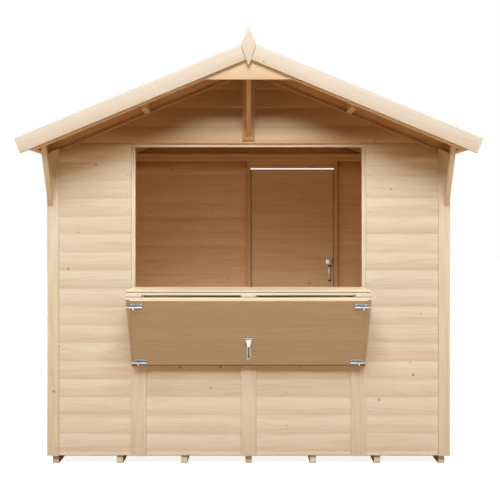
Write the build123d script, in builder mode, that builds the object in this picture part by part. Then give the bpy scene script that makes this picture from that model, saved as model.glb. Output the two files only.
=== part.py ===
"""Apex-roofed timber serving stall with a fold-down counter hatch and a rear door.

Millimetres, +Z up.  The front faces -Y.  The origin is on the ground, in the
middle of the floor, under the centre bearer.
"""
from math import asin, atan, cos, hypot, radians, sin, tan
import os

from build123d import *

os.makedirs("parts", exist_ok=True)

# ---------------------------------------------------------------- driving sizes
width = 2400.0  # over the side corner trims
depth = 1800.0  # front cladding face to rear cladding face
board = 12.0  # thickness of cladding, floor and roof boards
timber = 28.0  # wall framing, square section
trim = 14.0  # thickness of the corner trims
trim_width = 56.0

bearer_width = 38.0
bearer_height = 48.0
bearer_count = 7
bearer_inset = 3.0  # outer bearer's side to the floor's edge
cladding_drop = 10.0  # how far the cladding hangs below the floor's top

wall_height = 1852.0  # floor to the foot of the gable panel
gable_joint = 6.0  # gap between wall panels and gable panel
ridge_seat = 2290.0  # floor to the roof frame's underside at the ridge
pitch = 22.5

# serving opening
opening_width = 1352.0
opening_height = 836.0
sill_height = 994.0  # floor to the opening's lower edge
reveal = 24.0  # bare framing left around the opening
batten = 12.0
batten_width = 92.0
batten_inset = 38.0  # outer batten's centre line to the hatch's side
batten_gap = 2.0  # batten's top to the lower panel's top
gable_batten_width = 73.0
gable_batten_foot = 18.0  # above the foot of the gable panel

# folding hatch, shown folded down as a counter
leaf_overlap = 17.0  # leaf past each side of the opening
counter_length = 324.0
counter_thickness = 24.0
leaf_length = 540.0
leaf_core = 20.0
leaf_lining = 12.0
lining_play = 7.0  # lining to the side of the opening
lining_lip = 30.0  # bare core at the leaf's free end
leaf_rest_gap = 0.3
knuckle_radius = 3.0
knuckle_offset = 5.0  # fold pin to the leaves' outer faces
fold_gap = 4.0  # fold pin to each leaf's end
hinge_width = 88.0
hinge_plate = 1.5
fold_plate_reach = 5.0  # hinge plate up each leaf's end, from its outer face
sill_hinge_drop = 44.0

# barrel bolts and lock on the front leaf
bolt_plate = (70.0, 52.0, 2.0)
bolt_barrel_radius = 6.0
bolt_rod_radius = 4.5
bolt_rod_length = 82.0
bolt_inset = 38.0  # bolt's centre line to the leaf's hinged end
bolt_free_inset = 56.0  # bolt's centre line to the leaf's free end
bolt_knob = (4.0, 12.0)  # radius, height
lock_plate = (30.0, 172.0, 2.0)
lock_flange = (47.0, 12.0, 12.0)
lock_grip_top = 32.0
lock_grip_foot = 16.0
lock_grip_length = 58.0
lock_grip_depth = 10.0
lock_rod_radius = 3.0
lock_start = 286.0  # along the leaf from the fold pin

# roof
front_overhang = 300.0
rear_overhang = 60.0
purlin_depth = 72.0
purlin_spread = 600.0
purlin_notch = 10.0  # how deep the side purlins are cut over the gable walls
rafter_lift = 9.0  # roof frame's seat to the front rafters' underside, upright
eaves_reach = 1310.0  # ridge to the edge of the roof boards, level
eaves_rail_width = 48.0  # level, out from the corner trims
eaves_rail_drop = 2.0  # rail's underside below the roof frame's seat at the wall
felt = 2.5
barge = 18.0
barge_reach = 1333.0  # ridge to the bargeboard's upper corner, level
barge_width = 91.0
barge_drop = 22.0  # roof frame's underside to the bargeboard's lower edge, upright
finial_width = 87.0
finial_thickness = 16.0
finial_tip = 87.0  # tip above the bargeboards' top corner
finial_shoulder = 107.0  # tip to the widest point
finial_foot = 123.0  # widest point to the lower tip
tie_height = 95.0
strut_depth = 44.0
strut_lean = 34.0  # corner struts, from upright
centre_strut_lean = 37.2
corner_strut_inset = 8.0  # strut's side to the side trim's outer face
corner_strut_seat = 44.0  # height of the plumb cut at a corner strut's head
centre_strut_seat = 62.0

ridge_mitre = 0.5  # half the joint between the two slopes at the ridge
side_stud_count = 2

# rear door
door_left = 15.0  # doorway's side nearer the stall's middle
doorway_width = 637.0
doorway_height = 1791.0
door_overlap = 17.0  # door past each side of the doorway
door_seat_gap = 0.5  # door's inner face to the rear framing
door_top_gap = 14.0
door_foot_gap = 6.0
door_core = 20.0
door_lining = 12.0
door_lining_play = 7.0  # lining to the sides and threshold of the doorway
door_pin_offset = 3.5  # hinge pin to the door's side
door_hinge_height = 60.0
door_hinge_inset = 180.0  # hinge centre to the leaf's end
door_knuckle_radius = 6.0
door_pin_radius = 3.0
door_pin_play = 0.05
door_strap = (320.0, 36.0, 3.0)
door_plate_width = 46.0
door_hinge_gap = 0.3
door_lock_top = 1096.0  # floor to the top of the lock's back plate
door_lock_inset = 27.0  # lock's centre line to the lining's edge

# ---------------------------------------------------------------- derived places
slope = tan(radians(pitch))
upright = 1.0 / cos(radians(pitch))  # upright thickness of a sloping board

floor_z = bearer_height + board
cladding_foot = floor_z - cladding_drop
half_width = width / 2.0
side_face = half_width - trim
side_frame_out = side_face - board
side_frame_in = side_frame_out - timber
front_face = -depth / 2.0
rear_face = depth / 2.0
front_frame = (front_face + board, front_face + board + timber)
rear_frame = (rear_face - board - timber, rear_face - board)
front_cladding = (front_face, front_face + board)
rear_cladding = (rear_face - board, rear_face)

gable_foot = floor_z + wall_height
panel_top = gable_foot - gable_joint
seat_ridge_z = floor_z + ridge_seat
opening_side = opening_width / 2.0
opening_foot = floor_z + sill_height
opening_head = opening_foot + opening_height
panel_side = opening_side + reveal
sill_foot = opening_foot - timber


def seat_z(x):
    """Height of the roof frame's underside at a distance x from the ridge."""
    return seat_ridge_z - abs(x) * slope


def seat_x(z):
    """Distance from the ridge at which the roof frame's underside is z high."""
    return (seat_ridge_z - z) / slope


def middle(span):
    return (span[0] + span[1]) / 2.0


def mirrored(span):
    return (-span[1], -span[0])


def add_block(x_span, y_span, z_span):
    """Add a rectangular block to the piece being built."""
    with BuildSketch(Plane.XY.offset(z_span[0])) as base:
        with Locations((middle(x_span), middle(y_span))):
            Rectangle(x_span[1] - x_span[0], y_span[1] - y_span[0])
    extrude(base.sketch, amount=z_span[1] - z_span[0])


def add_side_profile(points, x_span):
    """Add a prism along X whose outline is given as (y, z) points."""
    with BuildSketch(Plane.YZ.offset(x_span[0])) as outline:
        with BuildLine():
            Polyline(*points, close=True)
        make_face()
    extrude(outline.sketch, amount=x_span[1] - x_span[0])


def add_front_profile(points, y_span):
    """Add a prism along Y whose outline is given as (x, z) points."""
    with BuildSketch(Plane.XZ.offset(-y_span[1])) as outline:
        with BuildLine():
            Polyline(*points, close=True)
        make_face()
    extrude(outline.sketch, amount=y_span[1] - y_span[0])


def add_rod(plane, radius, length):
    """Add a round bar from the plane along its normal."""
    with BuildSketch(plane) as circle:
        Circle(radius)
    extrude(circle.sketch, amount=length)


def add_level_rod(x_span, y, z, radius):
    """Add a round bar that runs across the stall, along X."""
    start = Plane(origin=(x_span[0], y, z), x_dir=(0.0, 1.0, 0.0), z_dir=(1.0, 0.0, 0.0))
    add_rod(start, radius, x_span[1] - x_span[0])


def roof_slab(side, x_span, rise_span, y_span):
    """Add a slab that follows the slope, between two upright heights above the seat."""
    inner, outer = x_span
    low, high = rise_span
    points = [
        (side * inner, seat_z(inner) + low),
        (side * outer, seat_z(outer) + low),
        (side * outer, seat_z(outer) + high),
        (side * inner, seat_z(inner) + high),
    ]
    add_front_profile(points, y_span)


def save(piece, name):
    """Label a finished piece and write it under its own name."""
    piece.part.label = name
    export_step(piece.part, f"parts/{name}.step")


# ---------------------------------------------------------------- floor
bearer_reach = side_frame_out - bearer_inset - bearer_width / 2.0
bearer_spacing = 2.0 * bearer_reach / (bearer_count - 1)

with BuildPart() as floor_bearers:
    for number in range(bearer_count):
        centre = -bearer_reach + number * bearer_spacing
        across = (centre - bearer_width / 2.0, centre + bearer_width / 2.0)
        add_block(across, (front_frame[0], rear_frame[1]), (0.0, bearer_height))
save(floor_bearers, "floor_bearers")

with BuildPart() as floor_deck:
    across = (-side_frame_out, side_frame_out)
    along = (front_frame[0], rear_frame[1])
    add_block(across, along, (bearer_height, floor_z))
save(floor_deck, "floor_deck")

# ---------------------------------------------------------------- front wall


def wall_panel_points(inner, outer):
    """Outline of a wall panel that runs up to the gable joint or the roof."""
    corner = seat_x(panel_top)
    points = [(inner, cladding_foot), (outer, cladding_foot), (outer, seat_z(outer))]
    if inner < corner < outer:
        points += [(corner, panel_top), (inner, panel_top)]
    else:
        points += [(inner, min(panel_top, seat_z(inner)))]
    return points


with BuildPart() as front_wall_right:
    add_front_profile(wall_panel_points(panel_side, side_frame_out), front_cladding)
save(front_wall_right, "front_wall_right")

with BuildPart() as front_wall_left:
    outline_points = [(-x, z) for x, z in wall_panel_points(panel_side, side_frame_out)]
    add_front_profile(outline_points, front_cladding)
save(front_wall_left, "front_wall_left")

with BuildPart() as front_wall_lower:
    add_block((-panel_side, panel_side), front_cladding, (cladding_foot, sill_foot))
save(front_wall_lower, "front_wall_lower")

gable_reach = seat_x(gable_foot)
gable_points = [(-gable_reach, gable_foot), (gable_reach, gable_foot), (0.0, seat_ridge_z)]

with BuildPart() as front_gable:
    add_front_profile(gable_points, front_cladding)
save(front_gable, "front_gable")

batten_y = (front_face - batten, front_face)
batten_top = sill_foot - batten_gap
leaf_reach = opening_side + leaf_overlap
batten_spread = leaf_reach - batten_inset

with BuildPart() as front_battens:
    for centre in (-batten_spread, 0.0, batten_spread):
        across = (centre - batten_width / 2.0, centre + batten_width / 2.0)
        add_block(across, batten_y, (cladding_foot, batten_top))
    edge = gable_batten_width / 2.0
    foot = gable_foot + gable_batten_foot
    gable_batten_points = [
        (-edge, foot),
        (edge, foot),
        (edge, seat_z(edge)),
        (0.0, seat_ridge_z),
        (-edge, seat_z(edge)),
    ]
    add_front_profile(gable_batten_points, batten_y)
save(front_battens, "front_battens")

# ---------------------------------------------------------------- side walls
for side, name in ((-1.0, "side_wall_left"), (1.0, "side_wall_right")):
    with BuildPart() as side_wall:
        across = (side_frame_out, side_face)
        if side < 0:
            across = mirrored(across)
        add_block(across, (front_face, rear_face), (cladding_foot, seat_z(side_face)))
    save(side_wall, name)

# ---------------------------------------------------------------- rear wall
doorway = (door_left, door_left + doorway_width)
doorway_head = floor_z + doorway_height
door_panel_side = (doorway[0] - reveal, doorway[1] + reveal)

with BuildPart() as rear_wall_left:
    outline_points = [(-x, z) for x, z in wall_panel_points(-door_panel_side[0], side_frame_out)]
    add_front_profile(outline_points, rear_cladding)
save(rear_wall_left, "rear_wall_left")

with BuildPart() as rear_wall_right:
    add_front_profile(wall_panel_points(door_panel_side[1], side_frame_out), rear_cladding)
save(rear_wall_right, "rear_wall_right")

with BuildPart() as rear_wall_header:
    add_block(door_panel_side, rear_cladding, (doorway_head, panel_top))
save(rear_wall_header, "rear_wall_header")

with BuildPart() as rear_gable:
    add_front_profile(gable_points, rear_cladding)
save(rear_gable, "rear_gable")

# ---------------------------------------------------------------- framing of the end walls
stud_foot = floor_z + timber
rafter_drop = timber * upright
side_stud = (side_frame_in, side_frame_out)
corner_stud_top = seat_z(side_frame_out) - rafter_drop


def add_cross_rail(z_span, y_span):
    """Add a level rail whose ends are cut to the gable rafters' underside."""
    low, high = z_span
    foot = seat_x(low + rafter_drop)
    top = seat_x(high + rafter_drop)
    add_front_profile([(-foot, low), (foot, low), (top, high), (-top, high)], y_span)


with BuildPart() as front_rails:
    add_block((-side_frame_out, side_frame_out), front_frame, (floor_z, stud_foot))
    add_block((-opening_side, opening_side), front_frame, (sill_foot, opening_foot))
    add_cross_rail((opening_head, opening_head + timber), front_frame)
save(front_rails, "front_rails")

with BuildPart() as front_studs:
    opening_stud = (opening_side, opening_side + timber)
    for span, top in ((side_stud, corner_stud_top), (opening_stud, opening_head)):
        add_block(span, front_frame, (stud_foot, top))
        add_block(mirrored(span), front_frame, (stud_foot, top))
save(front_studs, "front_studs")

left_jamb = (doorway[0] - timber, doorway[0])
right_jamb = (doorway[1], doorway[1] + timber)

with BuildPart() as rear_rails:
    add_block((-side_frame_out, left_jamb[0]), rear_frame, (floor_z, stud_foot))
    add_block((right_jamb[1], side_frame_out), rear_frame, (floor_z, stud_foot))
    add_block(doorway, rear_frame, (doorway_head, doorway_head + timber))
    # the wall's top rail with the gable's bottom rail on it
    add_cross_rail((panel_top, panel_top + 2.0 * timber), rear_frame)
save(rear_rails, "rear_rails")

with BuildPart() as rear_studs:
    add_block(side_stud, rear_frame, (stud_foot, corner_stud_top))
    add_block(mirrored(side_stud), rear_frame, (stud_foot, corner_stud_top))
    add_block(left_jamb, rear_frame, (floor_z, panel_top))
    add_block(right_jamb, rear_frame, (floor_z, panel_top))
save(rear_studs, "rear_studs")

with BuildPart() as gable_rafters:
    for y_span in (front_frame, rear_frame):
        for side in (-1.0, 1.0):
            roof_slab(side, (ridge_mitre, side_frame_out), (-rafter_drop, 0.0), y_span)
save(gable_rafters, "gable_rafters")

# ---------------------------------------------------------------- side wall framing
side_bay = (front_frame[1], rear_frame[0])
side_plate_top = seat_z(side_frame_out)
side_plate = (side_plate_top - timber, side_plate_top)

with BuildPart() as side_plates:
    for span in (side_stud, mirrored(side_stud)):
        add_block(span, side_bay, (floor_z, stud_foot))
        add_block(span, side_bay, side_plate)
save(side_plates, "side_plates")

with BuildPart() as side_studs:
    bay = (side_bay[1] - side_bay[0]) / (side_stud_count + 1)
    for number in range(1, side_stud_count + 1):
        centre = side_bay[0] + number * bay
        along = (centre - timber / 2.0, centre + timber / 2.0)
        for span in (side_stud, mirrored(side_stud)):
            add_block(span, along, (stud_foot, side_plate[0]))
save(side_studs, "side_studs")

# ---------------------------------------------------------------- corner trims
trim_inner = side_face - trim_width
front_trim_y = (front_face - trim, front_face)
rear_trim_y = (rear_face, rear_face + trim)
side_trim_x = (side_face, half_width)
side_trim_z = (cladding_foot, seat_z(half_width))
end_trim_points = [
    (trim_inner, cladding_foot),
    (side_face, cladding_foot),
    (side_face, seat_z(side_face)),
    (trim_inner, seat_z(trim_inner)),
]

with BuildPart() as end_trims:
    for end_y in (front_trim_y, rear_trim_y):
        add_front_profile(end_trim_points, end_y)
        add_front_profile([(-x, z) for x, z in end_trim_points], end_y)
save(end_trims, "end_trims")

with BuildPart() as side_trims:
    front_end = (front_trim_y[0], front_trim_y[0] + trim_width)
    for side_y in (front_end, mirrored(front_end)):
        add_block(side_trim_x, side_y, side_trim_z)
        add_block(mirrored(side_trim_x), side_y, side_trim_z)
save(side_trims, "side_trims")

# ---------------------------------------------------------------- roof
roof_front = front_face - front_overhang
roof_rear = rear_face + rear_overhang
barge_front_y = (roof_front, roof_front + barge)
barge_rear_y = (roof_rear - barge, roof_rear)
rafter_y = (barge_front_y[1], barge_front_y[1] + timber)
purlin_y = (rafter_y[1], barge_rear_y[0])
purlin_rise = purlin_depth * upright
deck_rise = (purlin_rise, purlin_rise + board * upright)
felt_rise = (deck_rise[1], deck_rise[1] + felt * upright)
half_timber = timber / 2.0
mid_purlin = (purlin_spread - half_timber, purlin_spread + half_timber)
eaves_rail = (half_width, half_width + eaves_rail_width)
eaves_foot = seat_z(half_width) - eaves_rail_drop

with BuildPart() as roof_purlins:
    ridge_points = [
        (-half_timber, seat_z(half_timber)),
        (0.0, seat_ridge_z),
        (half_timber, seat_z(half_timber)),
        (half_timber, seat_z(half_timber) + purlin_rise),
        (0.0, seat_ridge_z + purlin_rise),
        (-half_timber, seat_z(half_timber) + purlin_rise),
    ]
    add_front_profile(ridge_points, purlin_y)
    for side in (-1.0, 1.0):
        roof_slab(side, mid_purlin, (0.0, purlin_rise), purlin_y)
        for overhang_y in ((purlin_y[0], front_face), (rear_face, purlin_y[1])):
            roof_slab(side, mid_purlin, (-purlin_notch, 0.0), overhang_y)
save(roof_purlins, "roof_purlins")

with BuildPart() as eaves_rails:
    for side in (-1.0, 1.0):
        rail_points = [
            (side * eaves_rail[0], eaves_foot),
            (side * eaves_rail[1], eaves_foot),
            (side * eaves_rail[1], seat_z(eaves_rail[1]) + purlin_rise),
            (side * eaves_rail[0], seat_z(eaves_rail[0]) + purlin_rise),
        ]
        add_front_profile(rail_points, purlin_y)
save(eaves_rails, "eaves_rails")

# the front rafters' feet are cut level with the underside of the eaves rails
rafter_foot = seat_x(eaves_foot - rafter_lift)

with BuildPart() as front_rafters:
    for side in (-1.0, 1.0):
        rafter_points = [
            (side * ridge_mitre, seat_z(ridge_mitre) + rafter_lift),
            (side * rafter_foot, eaves_foot),
            (side * eaves_rail[1], eaves_foot),
            (side * eaves_rail[1], seat_z(eaves_rail[1]) + purlin_rise),
            (side * ridge_mitre, seat_z(ridge_mitre) + purlin_rise),
        ]
        add_front_profile(rafter_points, rafter_y)
save(front_rafters, "front_rafters")

infill_spans = ((half_timber, mid_purlin[0]), (mid_purlin[1], eaves_rail[0]))

with BuildPart() as gable_infill:
    for y_span in (front_frame, rear_frame):
        for side in (-1.0, 1.0):
            for span in infill_spans:
                roof_slab(side, span, (0.0, purlin_rise), y_span)
save(gable_infill, "gable_infill")

deck_y = (barge_front_y[1], barge_rear_y[0])

for side, name in ((-1.0, "left"), (1.0, "right")):
    with BuildPart() as roof_deck:
        roof_slab(side, (ridge_mitre, eaves_reach), deck_rise, deck_y)
    save(roof_deck, f"roof_deck_{name}")

with BuildPart() as roof_felt:
    for side in (-1.0, 1.0):
        roof_slab(side, (ridge_mitre, eaves_reach), felt_rise, deck_y)
save(roof_felt, "roof_felt")

# bargeboards are cut square at the eaves
barge_low = barge_drop
barge_high = barge_drop + barge_width * upright
barge_tail_low = barge_reach - barge_width * sin(radians(pitch))


def barge_points(side):
    """Outline of a bargeboard: upright mitre at the ridge, square cut at the eaves."""
    return [
        (side * ridge_mitre, seat_z(ridge_mitre) + barge_low),
        (side * barge_tail_low, seat_z(barge_tail_low) + barge_low),
        (side * barge_reach, seat_z(barge_reach) + barge_high),
        (side * ridge_mitre, seat_z(ridge_mitre) + barge_high),
    ]


for y_span, end in ((barge_front_y, "front"), (barge_rear_y, "rear")):
    for side, name in ((-1.0, "left"), (1.0, "right")):
        with BuildPart() as bargeboard:
            add_front_profile(barge_points(side), y_span)
        save(bargeboard, f"bargeboard_{end}_{name}")

# finials: a diamond on each end of the ridge
finial_top_z = seat_ridge_z + barge_high + finial_tip
finial_side_z = finial_top_z - finial_shoulder
finial_points = [
    (0.0, finial_top_z),
    (finial_width / 2.0, finial_side_z),
    (0.0, finial_side_z - finial_foot),
    (-finial_width / 2.0, finial_side_z),
]

with BuildPart() as finials:
    add_front_profile(finial_points, (roof_front - finial_thickness, roof_front))
    add_front_profile(finial_points, (roof_rear, roof_rear + finial_thickness))
save(finials, "finials")

# gable tie: a small triangle flush with the front rafters, under them
tie_y = (rafter_y[0], rafter_y[0] + barge)
tie_foot = seat_ridge_z - tie_height
tie_reach = seat_x(tie_foot - rafter_lift)

with BuildPart() as gable_tie:
    tie_points = [
        (-tie_reach, tie_foot),
        (tie_reach, tie_foot),
        (0.0, seat_ridge_z + rafter_lift),
    ]
    add_front_profile(tie_points, tie_y)
save(gable_tie, "gable_tie")

# overhang struts


def add_strut(x_span, face_y, head_y, head_z, seat, degrees):
    """Add a strut that leans out from a wall face, cut plumb and level at its head."""
    lean = radians(degrees)
    foot_z = head_z - seat - (face_y - head_y) / tan(lean)
    heel_z = foot_z + strut_depth / sin(lean)
    points = [
        (face_y, foot_z),
        (head_y, head_z - seat),
        (head_y, head_z),
        (face_y - (head_z - heel_z) * tan(lean), head_z),
        (face_y, heel_z),
    ]
    add_side_profile(points, x_span)


strut_side = half_width - corner_strut_inset
corner_strut = (strut_side - timber, strut_side)
corner_strut_head = seat_z(strut_side) + purlin_rise
corner_ends = (front_trim_y[0], rafter_y[1], corner_strut_head, corner_strut_seat)
centre_strut = (-half_timber, half_timber)
centre_strut_head = seat_z(half_timber)
centre_ends = (batten_y[0], tie_y[1], centre_strut_head, centre_strut_seat)

with BuildPart() as overhang_struts:
    for span in (corner_strut, mirrored(corner_strut)):
        add_strut(span, *corner_ends, strut_lean)
    add_strut(centre_strut, *centre_ends, centre_strut_lean)
save(overhang_struts, "overhang_struts")

# ---------------------------------------------------------------- folded hatch
counter_top = opening_foot
counter_foot = counter_top - counter_thickness
sill_pin_y = batten_y[0] - knuckle_radius
sill_pin_z = counter_foot - knuckle_radius
counter_y = (sill_pin_y - knuckle_radius - counter_length, sill_pin_y - knuckle_radius)
lining_reach = opening_side - lining_play
fold_pin_y = counter_y[0] - fold_gap
fold_pin_z = counter_foot - knuckle_offset

# the front leaf hangs from the fold pin and leans back against the battens
leaf_end = fold_gap + leaf_length
leaf_lean = atan(knuckle_offset / leaf_end) + asin(
    (batten_y[0] - leaf_rest_gap - fold_pin_y) / hypot(leaf_end, knuckle_offset)
)
leaf_core_face = knuckle_offset + leaf_core
leaf_face = leaf_core_face + leaf_lining


def on_leaf(along, out):
    """(y, z) of a point on the front leaf: along from the fold pin, out to its face."""
    y = fold_pin_y + along * sin(leaf_lean) - out * cos(leaf_lean)
    z = fold_pin_z - along * cos(leaf_lean) - out * sin(leaf_lean)
    return (y, z)


def add_on_leaf(x_span, along_span, out_span):
    """Add a block that lies square to the leaning front leaf."""
    corners = [
        on_leaf(along_span[0], out_span[0]),
        on_leaf(along_span[1], out_span[0]),
        on_leaf(along_span[1], out_span[1]),
        on_leaf(along_span[0], out_span[1]),
    ]
    add_side_profile(corners, x_span)


def leaf_plane(x, along, out):
    """Work plane on the front leaf that faces out from it."""
    y, z = on_leaf(along, out)
    normal = (0.0, -cos(leaf_lean), -sin(leaf_lean))
    return Plane(origin=(x, y, z), x_dir=(1.0, 0.0, 0.0), z_dir=normal)


with BuildPart() as counter_leaf:
    add_block((-leaf_reach, leaf_reach), counter_y, (counter_foot, counter_top))
save(counter_leaf, "counter_leaf")

with BuildPart() as front_leaf:
    add_on_leaf((-leaf_reach, leaf_reach), (fold_gap, leaf_end), (knuckle_offset, leaf_core_face))
    lining_span = (fold_gap, leaf_end - lining_lip)
    add_on_leaf((-lining_reach, lining_reach), lining_span, (leaf_core_face, leaf_face))
save(front_leaf, "front_leaf")

hinge_centres = (-leaf_reach + hinge_width / 2.0, 0.0, leaf_reach - hinge_width / 2.0)
fold_plate_y = (counter_y[0] - hinge_plate, counter_y[0])
fold_plate_z = (fold_pin_z, counter_foot + fold_plate_reach)
fold_plate_out = (0.0, knuckle_offset + fold_plate_reach)
sill_plate_y = (counter_y[1] - sill_hinge_drop, sill_pin_y)
sill_plate_z = (batten_top - sill_hinge_drop, sill_pin_z)

with BuildPart() as fold_hinges:
    for centre in hinge_centres:
        across = (centre - hinge_width / 2.0, centre + hinge_width / 2.0)
        add_block(across, fold_plate_y, fold_plate_z)
        add_on_leaf(across, (fold_gap - hinge_plate, fold_gap), fold_plate_out)
        add_level_rod(across, fold_pin_y, fold_pin_z, knuckle_radius)
save(fold_hinges, "fold_hinges")

with BuildPart() as sill_hinges:
    for centre in (-batten_spread, 0.0, batten_spread):
        across = (centre - hinge_width / 2.0, centre + hinge_width / 2.0)
        add_block(across, sill_plate_y, (counter_foot - hinge_plate, counter_foot))
        add_block(across, (batten_y[0] - hinge_plate, batten_y[0]), sill_plate_z)
        add_level_rod(across, sill_pin_y, sill_pin_z, knuckle_radius)
save(sill_hinges, "sill_hinges")

# barrel bolts: plate, barrel, rod and knob, near each corner of the leaf's face
plate_length, plate_breadth, plate_thickness = bolt_plate
knob_radius, knob_height = bolt_knob
bolt_out = leaf_face + plate_thickness + bolt_rod_radius
bolt_plate_x = (lining_reach - plate_length, lining_reach)
bolt_rod_x = (leaf_reach - bolt_rod_length, leaf_reach)

with BuildPart() as barrel_bolts:
    for along in (fold_gap + bolt_inset, leaf_end - bolt_free_inset):
        breadth = (along - plate_breadth / 2.0, along + plate_breadth / 2.0)
        rod_y, rod_z = on_leaf(along, bolt_out)
        for plate_x, rod_x in (
            (bolt_plate_x, bolt_rod_x),
            (mirrored(bolt_plate_x), mirrored(bolt_rod_x)),
        ):
            add_on_leaf(plate_x, breadth, (leaf_face, leaf_face + plate_thickness))
            add_level_rod(plate_x, rod_y, rod_z, bolt_barrel_radius)
            add_level_rod(rod_x, rod_y, rod_z, bolt_rod_radius)
            knob = leaf_plane(middle(plate_x), along, bolt_out)
            add_rod(knob, knob_radius, bolt_barrel_radius + knob_height)
save(barrel_bolts, "barrel_bolts")

# lock handles: back plate, flange, tapered grip and a rod that drops into a guide
plate_across, plate_drop, plate_rise = lock_plate
flange_across, flange_drop, flange_rise = lock_flange
grip_foot_drop = flange_drop + lock_grip_length
lock_middle = plate_rise + flange_rise / 2.0


def add_lock_block(face, across, drop_span, rise_span):
    """Add a block on a face whose local Y points up and whose normal points out."""
    with BuildSketch(face.offset(rise_span[0])) as base:
        with Locations((0.0, -middle(drop_span))):
            Rectangle(across, drop_span[1] - drop_span[0])
    extrude(base.sketch, amount=rise_span[1] - rise_span[0])


def add_lock(face):
    """Add a complete lock handle; the face's origin is the top of its back plate."""
    add_lock_block(face, plate_across, (0.0, plate_drop), (0.0, plate_rise))
    add_lock_block(face, flange_across, (0.0, flange_drop), (plate_rise, plate_rise + flange_rise))
    with BuildSketch(face.offset(lock_middle - lock_grip_depth / 2.0)) as grip:
        with BuildLine():
            Polyline(
                (-lock_grip_top / 2.0, -flange_drop),
                (-lock_grip_foot / 2.0, -grip_foot_drop),
                (lock_grip_foot / 2.0, -grip_foot_drop),
                (lock_grip_top / 2.0, -flange_drop),
                close=True,
            )
        make_face()
    extrude(grip.sketch, amount=lock_grip_depth)
    rod_start = face.from_local_coords((0.0, -grip_foot_drop, lock_middle))
    rod = Plane(origin=rod_start, x_dir=face.x_dir, z_dir=-face.y_dir)
    add_rod(rod, lock_rod_radius, plate_drop - grip_foot_drop)
    guide_rise = (plate_rise, lock_middle + 2.0 * lock_rod_radius)
    add_lock_block(face, lock_grip_foot, (plate_drop - flange_drop, plate_drop), guide_rise)


with BuildPart() as hatch_lock:
    add_lock(leaf_plane(0.0, lock_start, leaf_face))
save(hatch_lock, "hatch_lock")

# ---------------------------------------------------------------- rear door
door_x = (doorway[0] - door_overlap, doorway[1] + door_overlap)
door_z = (floor_z + door_foot_gap, doorway_head - door_top_gap)
door_inner = rear_frame[1] + door_seat_gap
door_outer = door_inner + door_core
door_lining_y = (door_inner - door_lining, door_inner)
door_lining_x = (doorway[0] + door_lining_play, doorway[1] - door_lining_play)
door_lining_z = (floor_z + door_lining_play, door_z[1])

with BuildPart() as rear_door:
    add_block(door_x, (door_inner, door_outer), door_z)
    add_block(door_lining_x, door_lining_y, door_lining_z)
save(rear_door, "rear_door")

# two strap hinges: pins just proud of the door's outer face and beside its edge
strap_length, strap_height, strap_thickness = door_strap
door_pin_x = door_x[0] - door_pin_offset
door_pin_y = door_outer + door_knuckle_radius
strap_y = (door_outer, door_outer + strap_thickness)
strap_x = (door_x[0] + door_knuckle_radius, door_x[0] + strap_length)
plate_x = (door_pin_x - door_plate_width, door_panel_side[0])
wall_plate_y = (rear_face, rear_face + strap_thickness)
knuckle_third = door_hinge_height / 3.0
hinge_levels = (door_z[0] + door_hinge_inset, door_z[1] - door_hinge_inset)


def upright_plane(z):
    """Work plane square to the door's hinge pins, with its origin on their line."""
    return Plane(origin=(door_pin_x, door_pin_y, z), z_dir=(0.0, 0.0, 1.0))


with BuildPart() as door_straps:
    for level in hinge_levels:
        knuckle_z = (level - knuckle_third / 2.0, level + knuckle_third / 2.0)
        add_block(strap_x, strap_y, (level - strap_height / 2.0, level + strap_height / 2.0))
        add_block((door_pin_x, strap_x[0]), strap_y, knuckle_z)
        add_rod(upright_plane(knuckle_z[0]), door_knuckle_radius, knuckle_third)
        with BuildSketch(upright_plane(knuckle_z[0])) as bore:
            Circle(door_pin_radius + door_pin_play)
        extrude(bore.sketch, amount=knuckle_third, mode=Mode.SUBTRACT)
save(door_straps, "door_straps")

with BuildPart() as door_hinges:
    for level in hinge_levels:
        ends = (level - door_hinge_height / 2.0, level + door_hinge_height / 2.0)
        inner = knuckle_third / 2.0 + door_hinge_gap
        add_block(plate_x, wall_plate_y, ends)
        for knuckle_z in ((ends[0], level - inner), (level + inner, ends[1])):
            neck_x = (plate_x[1] - strap_thickness, door_pin_x)
            add_block((neck_x[0], plate_x[1]), (rear_face, strap_y[1]), knuckle_z)
            add_block(neck_x, strap_y, knuckle_z)
            add_rod(upright_plane(knuckle_z[0]), door_knuckle_radius, knuckle_z[1] - knuckle_z[0])
        add_rod(upright_plane(ends[0]), door_pin_radius, door_hinge_height)
save(door_hinges, "door_hinges")

lock_x = door_lining_x[1] - door_lock_inset
lock_z = floor_z + door_lock_top

with BuildPart() as door_locks:
    inside = Plane(origin=(lock_x, door_lining_y[0], lock_z), x_dir=(1, 0, 0), z_dir=(0, -1, 0))
    outside = Plane(origin=(lock_x, door_outer, lock_z), x_dir=(-1, 0, 0), z_dir=(0, 1, 0))
    add_lock(inside)
    add_lock(outside)
save(door_locks, "door_locks")
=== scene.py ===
"""Finish of the timber serving stall: milled boards, sawn framing, felt and zinc hardware."""
from functools import partial
import math
import random

import bpy
from mathutils import Matrix, Vector


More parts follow.
